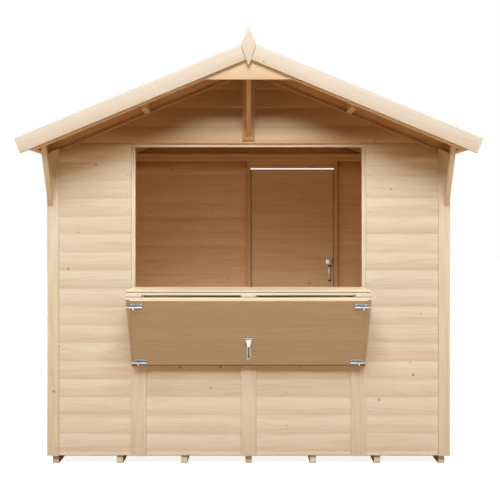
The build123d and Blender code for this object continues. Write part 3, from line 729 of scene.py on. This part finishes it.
# ------ roof boards
deck_low, deck_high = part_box("roof_deck_right")
DECK_RISE = deck_low.z - (RIDGE_SEAT - deck_high.x * SLOPE)  # upright, above the frame's underside
ROOF_COVER = 0.096
SLOPE_RUN = deck_high.x / math.cos(PITCH)
SPARE = 0.05  # boards are laid this much too long or wide, and sawn to the line


def on_each_slope(low_y, high_y):
    """The turn that takes the right-hand slope to each side, with the piece's reach before it."""
    return (0.0, (low_y, high_y)), (180.0, (-high_y, -low_y))


for roof_node, (spin, y_span) in zip(
    ("roof_deck_right", "roof_deck_left"), on_each_slope(deck_low.y, deck_high.y)
):
    low, high = (-SPARE, y_span[0], 0.0), (SLOPE_RUN + SPARE, y_span[1], BOARD)
    laid = planks(low, high, ROOF_COVER, 0.0025, ROOF_SHADE_WOOD)
    for board in laid:
        turn(board, TILT, "Y", Z * (RIDGE_SEAT + DECK_RISE))
        saw(board, X * deck_low.x, -X)
        saw(board, X * deck_high.x, X)
    deck = turn(join(laid, roof_node + "_boards"), spin)
    dress(deck, "planed_softwood", roof_node)

# ------ roofing felt
felt_low, felt_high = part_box("roof_felt")
SHEET = 0.0013  # thickness drawn for each layer of felt
FELT_SEAT = RIDGE_SEAT + DECK_RISE + BOARD / math.cos(PITCH)
FELT_EDGE = 0.0004
FELT_FOLD = 0.026  # how far the felt hangs over the ends of the roof boards
RIDGE_PLAY = 0.0005  # half the gap between the two slopes' sheets at the ridge
# each layer's start and end down the slope: to the eaves, over it to the ridge, and the ridge strip
FELT_LAYERS = ((0.66, SLOPE_RUN + SPARE), (-0.02, 0.74), (-0.02, 0.15))
# rows of nails: distance down the slope, and how many sheets high they sit
NAIL_ROWS = ((0.125, 3), (0.715, 2), (SLOPE_RUN - 0.03, 1))
ROW_GAPS = 13
ROW_INSET = 0.05  # ends of a row to the edges of the felt
SLOPE_OUT = Vector((math.sin(PITCH), 0.0, math.cos(PITCH)))
SLOPE_UP = Vector((-math.cos(PITCH), 0.0, math.sin(PITCH)))

felt_parts, felt_nails = [], []
for spin, (near_y, far_y) in on_each_slope(felt_low.y, felt_high.y):
    strips = []
    for layer, (start, end) in enumerate(FELT_LAYERS):
        strip = soften(
            block((start, near_y, layer * SHEET), (end, far_y, (layer + 1) * SHEET)), FELT_EDGE, 1
        )
        turn(strip, TILT, "Y", Z * FELT_SEAT)
        saw(strip, X * RIDGE_PLAY, -X)
        saw(strip, X * felt_high.x, X)
        strips.append(strip)
    eaves_z = FELT_SEAT - felt_high.x * SLOPE
    strips.append(soften(block(
        (felt_high.x, near_y, eaves_z - FELT_FOLD), (felt_high.x + SHEET, far_y, eaves_z)
    ), FELT_EDGE, 1))
    places = []
    for reach, layers in NAIL_ROWS:
        for index in range(ROW_GAPS + 1):
            y = near_y + ROW_INSET + (far_y - near_y - 2.0 * ROW_INSET) * index / ROW_GAPS
            foot = Vector((0.0, y, FELT_SEAT)) - SLOPE_UP * reach + SLOPE_OUT * layers * SHEET
            places.append(face_place(foot, SLOPE_OUT, SLOPE_UP))
    # flat heads of clout nails, 10 mm across
    nails = copies(soften(rod((0.0, 0.0, 0.0), (0.0, 0.0, 0.001), 0.005, 10), 0.0003, 1), places)
    for part in strips + nails:
        turn(part, spin)
        part.data.materials.append(ZINC if part in nails else FELT)
    felt_parts += strips
    felt_nails += nails
dress(join(felt_parts, "felt_sheets"), "roofing_felt", "roof_felt")
dress(join(felt_nails, "felt_nails"), "zinc_hardware")

# ------ the two leaves of the hatch
counter_low, counter_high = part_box("counter_leaf")
COUNTER_SKIN = 0.007
LAYER_GAP = 0.0025  # shadow gap under the counter's top boards
UNDERSIDE = counter_low.z - 0.0025  # lowest face of the counter's boards
UNDERSIDE_START = 0.106  # height of the lower edge, before the boards are laid face down
batten_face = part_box("front_battens")[0].y
LEAF_REACH = counter_high.x
LEAF_PIN = Vector((0.0, counter_low.y - 0.004, counter_low.z - 0.005))  # of the fold hinges
LEAF_START = 0.0028  # leaf's ends, down from the fold pin
LEAF_END = 0.544
LEAF_BACK = 0.005  # fold pin to the leaf's outer face
LEAF_CORE = 0.020
LEAF_FACE = -LEAF_BACK - LEAF_CORE - BOARD
LEAF_REST_GAP = 0.0003
LINING_COVER = 0.108
LINING_REACH = 0.669
LINING_LIP = 0.030
CORE_OVERLAP = 0.004
LEAF_LEAN = math.degrees(
    math.atan(LEAF_BACK / LEAF_END)
    + math.asin((batten_face - LEAF_REST_GAP - LEAF_PIN.y) / math.hypot(LEAF_END, LEAF_BACK))
)


def on_leaf(piece):
    """Swing a piece modelled hanging under the fold pin to its place on the front leaf."""
    return turn(piece, LEAF_LEAN, "X", LEAF_PIN)


# the counter's top boards take the creamier wood: painted warm light on faces turned to the sky
counter_parts = planks(
    (counter_low.x, counter_low.y, counter_high.z - COUNTER_SKIN), counter_high,
    LINING_COVER, 0.001, COUNTER_LIT_WOOD,
)
counter_parts += planks(
    (counter_low.x, counter_low.y, UNDERSIDE + BOARD),
    (counter_high.x, counter_high.y, counter_high.z - COUNTER_SKIN - LAYER_GAP),
    ONE_BOARD, 0.0003,
)
underside = lay_courses(
    (counter_low.x, counter_high.x), 0.0,
    (UNDERSIDE_START, UNDERSIDE_START + counter_high.y - counter_low.y),
)
for board in underside:
    turn(board, 90.0, "X", (0.0, counter_high.y + UNDERSIDE_START, UNDERSIDE))
counter_parts += underside
dress(join(counter_parts, "counter_boards"), "planed_softwood", "counter_leaf")

# the leaf's boards take the greyed lining: a painted shade tone under the counter
leaf_parts = planks(
    (-LINING_REACH, LEAF_FACE, -LEAF_END + LINING_LIP),
    (LINING_REACH, LEAF_FACE + BOARD, -LEAF_START),
    LINING_COVER, 0.0008, SHADE_TONED_LINING_WOOD, Z,
)
leaf_parts += planks(
    (-LEAF_REACH, LEAF_FACE + BOARD, -LEAF_END + LINING_LIP - CORE_OVERLAP),
    (LEAF_REACH, -LEAF_BACK - BOARD, -LEAF_START),
    ONE_BOARD, 0.001, SHADE_TONED_LINING_WOOD, Z,
)
# the back boards' faces bared below the lining take the darkest wood: painted shade
back_boards = lay_courses(
    (-LEAF_REACH, LEAF_REACH), 0.0, (FIRST_LINE, FIRST_LINE + LEAF_END - LEAF_START), wood=LIP_SHADE_WOOD
)
for board in back_boards:
    turn(board, 180.0, "Z", (0.0, -LEAF_BACK, -LEAF_END - FIRST_LINE))
leaf_parts += back_boards
dress(on_leaf(join(leaf_parts, "front_leaf_boards")), "planed_softwood", "front_leaf")

# ------ rear door
DOOR_CORE = 0.020
CORE_RISE = 0.0045  # core above the lining, up to the gap for light
LINING_INSET = 0.024
door_inner = door_high.y - DOOR_CORE
door_back = (-door_high.x, -door_low.x), -door_high.y, (door_low.z, door_high.z)
door_parts = lay_courses(*door_back)
for board in door_parts:
    turn(board, 180.0)
nail_boards(*door_back, (), 180.0, "rear_door")
door_parts += planks(
    (door_low.x, door_inner, door_low.z),
    (door_high.x, door_high.y - BOARD, door_high.z + CORE_RISE),
    ONE_BOARD, 0.001, SAWN_WOOD,
)
door_parts += planks(
    (door_low.x + LINING_INSET, door_low.y, door_low.z + 0.001),
    (door_high.x - LINING_INSET, door_inner, door_high.z),
    COVER, 0.001, SAWN_WOOD,
)
dress(join(door_parts, "rear_door_boards"), "planed_softwood", "rear_door", body="rear_door")

remove(BOARD_MASTER)


# ------ zinc hardware
def painted(piece, material):
    """Give a piece one finish."""
    piece.data.materials.clear()
    piece.data.materials.append(material)
    return piece


def bar(low, high, finish, edge=0.0004, segments=2):
    """A flat bar or plate with eased edges."""
    return painted(soften(block(low, high), edge, segments), finish)


def pin(start, end, radius, sides, finish, edge):
    """A round bar with eased ends."""
    return painted(soften(rod(start, end, radius, sides), edge), finish)


def plate(low, high, corner, finish):
    """A pressed plate lying on Z = 0, with rounded corners and eased edges."""
    sheet = block(low, high)

    def upright(edge):
        first, second = (sheet.data.vertices[index].co for index in edge.vertices)
        return abs(first.z - second.z) > TINY

    select(sheet, "EDGE", upright)
    bpy.ops.mesh.bevel(offset=corner, segments=4, affect="EDGES")
    leave_edit()
    return painted(soften(sheet, 0.0004), finish)


def screws(radius, places):
    """Screw heads, each a low dome with a recess, in shares of its radius."""
    head = rod((0.0, 0.0, 0.0), (0.0, 0.0, radius * 0.25), radius, 12)
    select(head, "FACE", lambda face: face.normal.z > 0.9)
    for thickness, depth in ((0.28, 0.12), (0.30, 0.03), (0.05, -0.25)):
        bpy.ops.mesh.inset(thickness=radius * thickness, depth=radius * depth)
    leave_edit()
    return copies(painted(head, ZINC), places)


PLATE = 0.002  # thickness of pressed back plates


def barrel_bolt():
    """Barrel bolt on Z = 0, its rod along X: plate, split barrel, rod, knob and four screws."""
    half = 0.035  # half the plate's length
    middle = 0.007  # height of the rod's centre
    knob_x, knob_slot, knob_z = 0.015, 0.009, 0.021
    base = plate((-half, -0.026, 0.0), (half, 0.026, PLATE), 0.004, DARK_REFLECTION_ZINC)
    # parted along its middle, so that its lower half can take painted shade of its own
    select(base, "VERT", lambda vertex: True)
    bpy.ops.mesh.bisect(plane_co=(0.0, 0.0, 0.0), plane_no=Y)
    leave_edit()
    parts = [base]
    for start, end in ((-half, knob_x - knob_slot), (knob_x + knob_slot, half)):
        parts.append(pin((start, 0.0, middle), (end, 0.0, middle), 0.006, 20, STRAP_ZINC, 0.0009))
    parts.append(pin((-0.023, 0.0, middle), (0.059, 0.0, middle), 0.0045, 18, STRAP_ZINC, 0.0012))
    parts.append(painted(rod((knob_x, 0.0, middle), (knob_x, 0.0, 0.020), 0.003, 12), ZINC))
    pick()
    bpy.ops.mesh.primitive_uv_sphere_add(
        segments=16, ring_count=10, radius=0.005, location=(knob_x, 0.0, knob_z)
    )
    knob = settle(bpy.context.active_object)
    bpy.ops.object.shade_smooth()
    parts.append(painted(knob, ZINC))
    places = [Matrix.Translation((x, y, PLATE)) for x in (-0.028, 0.028) for y in (-0.0185, 0.0185)]
    return join(parts + screws(0.0034, places), "bolt")


def lock_handle():
    """Lock handle on Z = 0, its top at the origin: flange, tapered grip, channel, rod and guide."""
    foot, grip_foot = -0.172, -0.070  # lower ends of the channel and of the grip
    half_grip, grip_low, grip_high = 0.016, 0.003, 0.013
    half_channel, wall, sheet = 0.0085, 0.0012, 0.0015
    flange = bar((-0.0235, -0.012, 0.0), (0.0235, 0.0, 0.014), ZINC, 0.0016, 3)
    # the flange's front face is painted dark: a painted dark reflection
    flange.data.materials.append(DULL_AND_SHADED_ZINC)
    for face in flange.data.polygons:
        face.material_index = 1 if face.normal.z > 0.9 else 0
    # the lock's plate, channel and rod are dark zinc: painted shade in the channel's recess
    parts = [flange, plate((-0.015, -0.092, 0.0), (0.015, -0.006, PLATE), 0.004, DULL_AND_SHADED_ZINC)]
    grip = block((-half_grip, grip_foot, grip_low), (half_grip, -0.012, grip_high))
    select(grip, "VERT", lambda vertex: vertex.co.y < grip_foot + TINY)
    bpy.ops.transform.resize(value=(0.5, 1.0, 1.0), center_override=(0.0, grip_foot, grip_low))
    leave_edit()
    parts.append(painted(soften(grip, 0.003, 4), ZINC))
    channel = block((-half_channel, foot, 0.0), (half_channel, grip_foot, sheet))
    parts.append(painted(channel, DULL_AND_SHADED_ZINC))
    for x in (-0.0078, 0.0078):
        parts.append(bar((x - wall, foot, 0.0), (x + wall, grip_foot, 0.009), ZINC, 0.0003, 1))
    parts.append(pin((0.0, -0.068, 0.005), (0.0, foot, 0.005), 0.003, 14, DULL_AND_SHADED_ZINC, 0.0006))
    guide_low, guide_high = (-half_channel, foot, sheet), (half_channel, foot + 0.008, 0.011)
    parts.append(bar(guide_low, guide_high, STRAP_ZINC, 0.0015, 3))
    places = [Matrix.Translation((x, -0.084, PLATE)) for x in (-0.0115, 0.0115)]
    return join(parts + screws(0.0026, places), "lock")


def inner_handle():
    """Inside handle of the door on Z = 0, its top at the origin: plate, cap, flat bar and guide."""
    parts = [plate((-0.026, -0.044, 0.0), (0.026, 0.0, PLATE), 0.006, ZINC)]
    for low, high, finish, edge in (
        ((-0.014, -0.062, 0.0), (0.014, -0.044, 0.010), DULL_AND_SHADED_ZINC, 0.002),
        ((-0.0085, -0.162, 0.004), (0.0085, -0.058, 0.010), ZINC, 0.0015),
        ((-0.011, -0.172, 0.0), (0.011, -0.158, 0.012), DULL_AND_SHADED_ZINC, 0.002),
    ):
        parts.append(bar(low, high, finish, edge, 3))
    places = [Matrix.Translation((x, y, PLATE)) for x in (-0.018, 0.018) for y in (-0.008, -0.034)]
    return join(parts + screws(0.0032, places), "handle")


HINGE_HALF = 0.044  # half the length of the hatch's hinges
HINGE_SHEET = 0.0015
KNUCKLES = 5
KNUCKLE_GAP = 0.0004


def knuckles(centre, middle, radius):
    """Rolled knuckles of a hinge along X on their pin, with a hair's gap between them."""
    foot = middle + X * (centre - HINGE_HALF)
    step = 2.0 * HINGE_HALF / KNUCKLES
    rolled = []
    for index in range(KNUCKLES):
        start = foot + X * (index * step + KNUCKLE_GAP / 2.0)
        knuckle = rod(start, start + X * (step - KNUCKLE_GAP), radius, 14)
        rolled.append(painted(soften(knuckle, 0.0004, 1), HINGE_ZINC))
    rolled.append(painted(rod(foot, foot + X * 2.0 * HINGE_HALF, radius * 0.6, 12), DULL_AND_SHADED_ZINC))
    return rolled


# barrel bolts at the leaf's corners, the left-hand ones turned half round
bolt_places = []
for drop in (0.046, LEAF_END - 0.052):
    for side in (-1.0, 1.0):
        place = Vector((side * (LINING_REACH - 0.035), LEAF_FACE, -drop))
        bolt_places.append(face_place(place, -Y, Z * side))
bolt_set = join(copies(barrel_bolt(), bolt_places), "barrel_bolt_set")
bolt_set.data.materials.append(DULL_AND_SHADED_ZINC)
KNOB_RISE = 0.0135  # a bolt's knob stands higher than this above the lining
for face in bolt_set.data.polygons:
    # the lower half of each bolt, but not its knob, is painted darker than its top: painted shade
    # and dark reflection under the barrel
    rise = min((face.center.z - place.translation.z for place in bolt_places), key=abs)
    if rise < -0.0005 and LEAF_FACE - face.center.y < KNOB_RISE:
        face.material_index = len(bolt_set.data.materials) - 1
dress(on_leaf(bolt_set), "zinc_hardware", "barrel_bolts")

# the hatch's lock, and a copy of it outside on the door
LOCK_DROP = 0.286  # lock's top, down from the fold pin
lock_master = lock_handle()
hatch_lock, = copies(copy_of(lock_master), [face_place((0.0, LEAF_FACE, -LOCK_DROP), -Y)])
hatch_lock.name = "hatch_lock_handle"
dress(on_leaf(hatch_lock), "zinc_hardware", "hatch_lock")

# hinges at the fold and at the sill: two flaps and a row of knuckles each
fold_parts, sill_parts = [], []
for centre in (-LEAF_REACH + HINGE_HALF, 0.0, LEAF_REACH - HINGE_HALF):
    left, right = centre - HINGE_HALF, centre + HINGE_HALF
    fold_parts.append(on_leaf(bar((left, -0.010, -0.004), (right, 0.0, -0.0025), HINGE_ZINC)))
    low = (left, counter_low.y - HINGE_SHEET, LEAF_PIN.z)
    fold_parts.append(bar(low, (right, counter_low.y, LEAF_PIN.z + 0.010), HINGE_ZINC))
    fold_parts += knuckles(centre, LEAF_PIN, 0.0034)

SILL_KNUCKLE = 0.003
SILL_SCREWS = (-0.030, 0.0, 0.030)
COUNTER_SCREW_Y = -0.935
BATTEN_SCREW_Z = 0.998
sill_low, sill_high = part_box("sill_hinges")
sill_pin = Vector((0.0, batten_face - SILL_KNUCKLE, UNDERSIDE - SILL_KNUCKLE))
counter_flap_z, batten_flap_y = UNDERSIDE - HINGE_SHEET, batten_face - HINGE_SHEET
for centre in (sill_low.x + HINGE_HALF, 0.0, sill_high.x - HINGE_HALF):
    left, right = centre - HINGE_HALF, centre + HINGE_HALF
    for low, high in (
        ((left, sill_low.y, counter_flap_z), (right, sill_pin.y, UNDERSIDE)),
        ((left, batten_flap_y, sill_low.z), (right, batten_face, sill_pin.z)),
    ):
        sill_parts.append(bar(low, high, HINGE_ZINC))
    sill_parts += knuckles(centre, sill_pin, SILL_KNUCKLE)
    places = []
    for across in SILL_SCREWS:
        x = centre + across
        places.append(face_place((x, COUNTER_SCREW_Y, counter_flap_z), -Z, Y))
        places.append(face_place((x, batten_flap_y, BATTEN_SCREW_Z), -Y))
    sill_parts += screws(0.0036, places)
dress(join(fold_parts, "fold_hinge_set"), "zinc_hardware", "fold_hinges")
dress(join(sill_parts, "sill_hinge_set"), "zinc_hardware", "sill_hinges")

# strap hinges and locks of the rear door
STRAP = 0.003  # thickness of straps and wall plates
STRAP_SCREWS = (0.030, 0.105, 0.180, 0.255, 0.300)
WALL_PLATE_X = -0.036
HALF_PLATE = 0.030
hinge_low, hinge_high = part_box("door_hinges")
straps, wall_plates = (
    [painted(soften(part, 0.0004, 1), STRAP_ZINC) for part in loose_parts(node)]
    for node in ("door_straps", "door_hinges")
)
strap_places, plate_places = [], []
for level in (hinge_low.z + HALF_PLATE, hinge_high.z - HALF_PLATE):
    for x in STRAP_SCREWS:
        strap_places.append(face_place((x, door_high.y + STRAP, level), Y))
    for rise in (-0.019, 0.019):
        plate_places.append(face_place((WALL_PLATE_X, REAR_FACE + STRAP, level + rise), Y))
straps += screws(0.0045, strap_places)
wall_plates += screws(0.0040, plate_places)
dress(join(straps, "door_strap_set"), "zinc_hardware", "door_straps", body="rear_door")
dress(join(wall_plates, "door_wall_plates"), "zinc_hardware", "door_hinges")

locks_low, locks_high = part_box("door_locks")
lock_x = (locks_low.x + locks_high.x) / 2.0
handles = copies(lock_master, [face_place((lock_x, door_high.y, locks_high.z), Y)])
handles += copies(inner_handle(), [face_place((lock_x, door_low.y, locks_high.z), -Y)])
dress(join(handles, "door_lock_handles"), "zinc_hardware", "door_locks", body="rear_door")

# nail heads in the cladding
for body, places in nail_places.items():
    head = soften(rod((0.0, 0.0, -0.0005), (0.0, 0.0, 0.0005), 0.0021, 8), 0.0003, 1)
    heads = join(copies(painted(head, DULL_AND_SHADED_ZINC), places), "cladding_nails_" + body)
    dress(heads, "zinc_hardware", body=body)


# ------ stage, light and camera
def looked_at(add):
    """1 for what the camera sees, also in gloss and glass, and 0 for the light on the object."""
    path = add("LightPath")
    seen = add("Math", [path, path.outputs["Is Glossy Ray"]], operation="MAXIMUM")
    return add("Math", [seen, path.outputs["Is Transmission Ray"]], operation="MAXIMUM")


def studio():
    """A pale floor that keeps the shadow, and a white surround."""
    pick()
    bpy.ops.mesh.primitive_plane_add(size=60.0, location=(0.0, 0.0, 0.0))
    floor = bpy.context.active_object
    floor.name = "studio_floor"
    material = bpy.data.materials.new("studio_floor")
    add = node_adder(material)
    lit = add("BsdfDiffuse", [linear("#ad8455")])
    pale = add("BsdfDiffuse", [linear("#f4f4f4")])
    # the pale floor turns white between 3 m and 8 m from the stall's middle
    place = add("NewGeometry").outputs["Position"]
    reach = add("VectorMath", [place], operation="LENGTH").outputs["Value"]
    glow = add("Emission", [linear("#ffffff"), add("MapRange", [reach, 3.0, 8.0, 0.86, 1.0])])
    bright = add("AddShader", [pale, glow])
    add("OutputMaterial", [add("MixShader", [looked_at(add), lit, bright])])
    floor.data.materials.append(material)

    world = bpy.data.worlds.new("studio")
    bpy.context.scene.world = world
    add = node_adder(world)
    ambient = add("Background", [linear("#ffdcb0"), 0.062])
    white = add("Background", [linear("#ffffff"), 1.0])
    add("OutputWorld", [add("MixShader", [looked_at(add), ambient, white])])


def lamps():
    """Soft lamps high on all four sides, and two low ones inside that lift the room's back wall."""
    cool, warm, pale = (linear(code)[:3] for code in ("#e8f3ff", "#ffdaa8", "#eef6ff"))
    for name, place, target, size, power, colour in (
        ("front_high", (0.0, -10.3, 11.3), (0.0, -0.9, 1.2), (8.6, 6.0), 2540.0, cool),
        ("rear_high", (0.0, 9.2, 12.0), (0.0, 0.9, 1.2), (8.6, 5.6), 2300.0, cool),
        ("left_high", (-9.0, 0.6, 8.0), (0.0, 0.3, 1.2), (4.4, 4.4), 800.0, cool),
        ("right_high", (9.0, 0.6, 8.0), (0.0, 0.3, 1.2), (4.4, 4.4), 800.0, cool),
        ("inside_low", (0.0, -0.74, 1.02), (0.0, 0.9, 1.38), (1.24, 0.5), 3.6, warm),
        ("inside_rear", (0.0, 0.40, 0.55), (0.0, 0.9, 0.95), (1.7, 0.3), 4.1, pale),
    ):
        data = bpy.data.lights.new(name, "AREA")
        data.shape = "RECTANGLE"
        data.size, data.size_y = size
        data.energy = power
        data.color = colour
        lamp = bpy.data.objects.new(name, data)
        lamp.visible_camera = False
        lamp.location = place
        lamp.rotation_euler = (Vector(target) - Vector(place)).to_track_quat("-Z", "Y").to_euler()
        bpy.context.scene.collection.objects.link(lamp)


def camera():
    """Eye-level view square to the front, 6.3 m from the front cladding."""
    distance = 6.3
    eye = 1.4545
    metres_across = 2.9806  # width of the front's plane that fills the picture
    data = bpy.data.cameras.new("camera")
    data.sensor_width = 36.0
    data.lens = data.sensor_width * distance / metres_across
    data.shift_x = 0.0028
    data.shift_y = -0.06
    view = bpy.data.objects.new("camera", data)
    view.location = (0.0, FRONT_FACE - distance, eye)
    view.rotation_euler = (math.radians(90.0), 0.0, 0.0)
    bpy.context.scene.collection.objects.link(view)
    bpy.context.scene.camera = view


studio()
lamps()
camera()
bpy.context.scene.view_settings.view_transform = "Standard"
